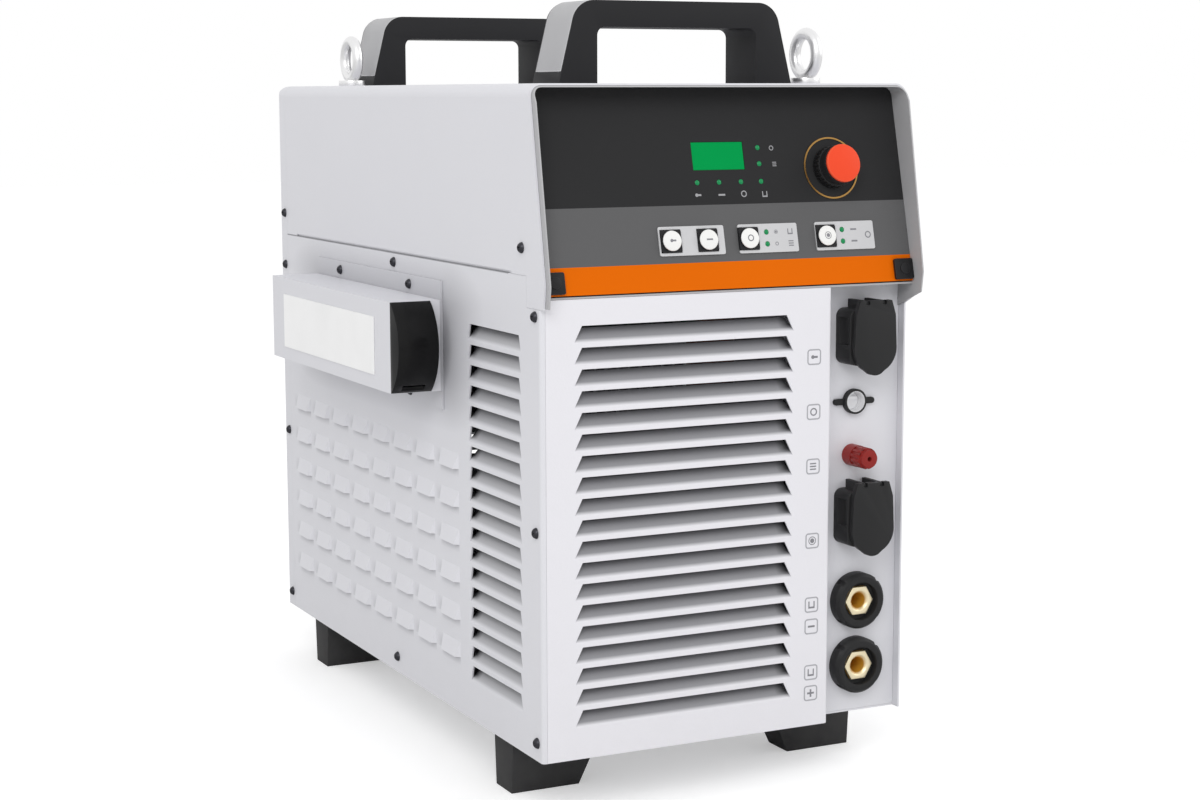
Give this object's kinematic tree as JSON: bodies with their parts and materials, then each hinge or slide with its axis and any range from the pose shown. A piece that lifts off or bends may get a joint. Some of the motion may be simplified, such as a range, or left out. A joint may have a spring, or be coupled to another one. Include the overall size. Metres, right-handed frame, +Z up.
{
  "type": "plasma cutter unit",
  "caption": "Plasma cutter power unit with a built-in air compressor: louvred sheet steel cabinet, sloped control console, socket column, side air intake, handles and feet.",
  "frame": {"origin": "on the floor, at the centre of the four bolt holes in the feet", "axes": "+Z up, front with the console and sockets towards -Y, +X to the right seen from the front"},
  "size_m": [0.3902, 0.6582, 0.6362],
  "materials": {
    "cabinet_paint": "fine-textured light grey powder coat",
    "front_paint": "fine-textured near-white powder coat",
    "liner_paint": "mid grey powder coat",
    "plate_paint": "dark grey powder coat",
    "overlay_film": "printed film: dark grey, mid grey band, orange stripe",
    "display_glass": "green back-lit display",
    "black_plastic": "moulded black plastic",
    "lamp_lens": "green lamp lenses",
    "plate_grey": "light grey moulded plates",
    "button_white": "white moulded caps",
    "ring_gold": "thin gold ring",
    "dial_orange": "orange-red insert",
    "bright_steel": "zinc-plated steel",
    "circuit_board": "circuit board with its components",
    "socket_black": "black glass-filled plastic",
    "insert_grey": "light grey insert",
    "post_red": "red moulded plastic",
    "contact_brass": "machined brass",
    "plate_white": "bare white plate",
    "hood_black": "black moulded hood",
    "handle_black": "textured black nylon",
    "trim_grey": "grey side trims",
    "foot_black": "black moulded feet",
    "screw_black": "black zinc-plated screws",
    "breaker_plastic": "light grey moulded breaker",
    "zinc_sheet": "zinc-plated sheet",
    "cast_alloy": "cast alloy motor and heads",
    "black_rubber": "rubber mounts",
    "sink_alloy": "extruded fins",
    "winding_brown": "varnished core and windings"
  },
  "bodies": {
    "cabinet": {"base_tray": "cabinet_paint", "left_side_panel": "cabinet_paint", "right_side_panel": "cabinet_paint", "top_cover": "cabinet_paint", "rear_panel": "cabinet_paint", "front_louvre_panel": "front_paint", "connector_panel": "cabinet_paint", "console_shell": "liner_paint", "console_plate": "plate_paint", "control_overlay": "overlay_film", "display_window": "display_glass", "display_module": "black_plastic", "indicator_lamps": "lamp_lens", "button_plates": "plate_grey", "button_housings": "black_plastic", "dial_ring": "ring_gold", "dial_encoder": "black_plastic", "control_board": "circuit_board", "console_blocks": "black_plastic", "upper_socket_body": "socket_black", "lower_socket_body": "socket_black", "lid_pins": "bright_steel", "control_socket": "socket_black", "control_insert": "insert_grey", "pilot_post": "post_red", "negative_housing": "socket_black", "negative_contact": "contact_brass", "positive_housing": "socket_black", "positive_contact": "contact_brass", "intake_box": "cabinet_paint", "intake_plate": "plate_white", "intake_hood": "hood_black", "front_handle": "handle_black", "rear_handle": "handle_black", "handle_trims": "trim_grey", "lifting_eyes": "bright_steel", "feet": "foot_black", "cabinet_screws": "screw_black", "fan_frame": "black_plastic", "mains_breaker": "breaker_plastic", "cable_gland": "black_plastic", "earth_stud": "contact_brass", "inner_shelf": "zinc_sheet", "compressor": "cast_alloy", "compressor_mounts": "black_rubber", "heat_sink": "sink_alloy", "main_transformer": "winding_brown", "power_board": "circuit_board"},
    "dial": {"dial_knob": "black_plastic", "dial_cap": "dial_orange", "dial_shaft": "bright_steel"},
    "button_1": {"button_1": "button_white"},
    "button_2": {"button_2": "button_white"},
    "button_3": {"button_3": "button_white"},
    "button_4": {"button_4": "button_white"},
    "upper_lid": {"upper_socket_lid": "socket_black"},
    "lower_lid": {"lower_socket_lid": "socket_black"},
    "post_cap": {"pilot_post_cap": "post_red"},
    "fan": {"fan_rotor": "black_plastic"},
    "breaker_switch": {"breaker_toggle": "black_plastic"}
  },
  "joints": [
    {"name": "dial_turn", "type": "hinge", "parent": "cabinet", "child": "dial", "pos_m": [0.0994, -0.30732, 0.50423], "axis": [0, 0.9728, -0.2317], "continuous": true},
    {"name": "button_1_press", "type": "slide", "parent": "cabinet", "child": "button_1", "axis": [0, 0.9728, -0.2317], "range_m": [0, 0.0006], "stiffness_N_per_m": 500, "springref_m": -0.002},
    {"name": "button_2_press", "type": "slide", "parent": "cabinet", "child": "button_2", "axis": [0, 0.9728, -0.2317], "range_m": [0, 0.0006], "stiffness_N_per_m": 500, "springref_m": -0.002},
    {"name": "button_3_press", "type": "slide", "parent": "cabinet", "child": "button_3", "axis": [0, 0.9728, -0.2317], "range_m": [0, 0.0006], "stiffness_N_per_m": 500, "springref_m": -0.002},
    {"name": "button_4_press", "type": "slide", "parent": "cabinet", "child": "button_4", "axis": [0, 0.9728, -0.2317], "range_m": [0, 0.0006], "stiffness_N_per_m": 500, "springref_m": -0.002},
    {"name": "upper_lid_hinge", "type": "hinge", "parent": "cabinet", "child": "upper_lid", "pos_m": [0.1275, -0.322, 0.3927], "axis": [-1, 0, 0], "range_deg": [0, 90], "stiffness_Nm_per_rad": 0.02, "springref_deg": -34.38},
    {"name": "lower_lid_hinge", "type": "hinge", "parent": "cabinet", "child": "lower_lid", "pos_m": [0.1275, -0.322, 0.2432], "axis": [-1, 0, 0], "range_deg": [0, 90], "stiffness_Nm_per_rad": 0.02, "springref_deg": -34.38},
    {"name": "post_cap_screw", "type": "hinge", "parent": "cabinet", "child": "post_cap", "pos_m": [0.1227, -0.319, 0.2665], "axis": [0, -1, 0], "range_deg": [0, 1080]},
    {"name": "fan_spin", "type": "hinge", "parent": "cabinet", "child": "fan", "pos_m": [0, 0.278, 0.44], "axis": [0, 1, 0], "continuous": true},
    {"name": "breaker_throw", "type": "hinge", "parent": "cabinet", "child": "breaker_switch", "pos_m": [0.095, 0.2962, 0.144], "axis": [1, 0, 0], "range_deg": [0, 50]}
  ]
}
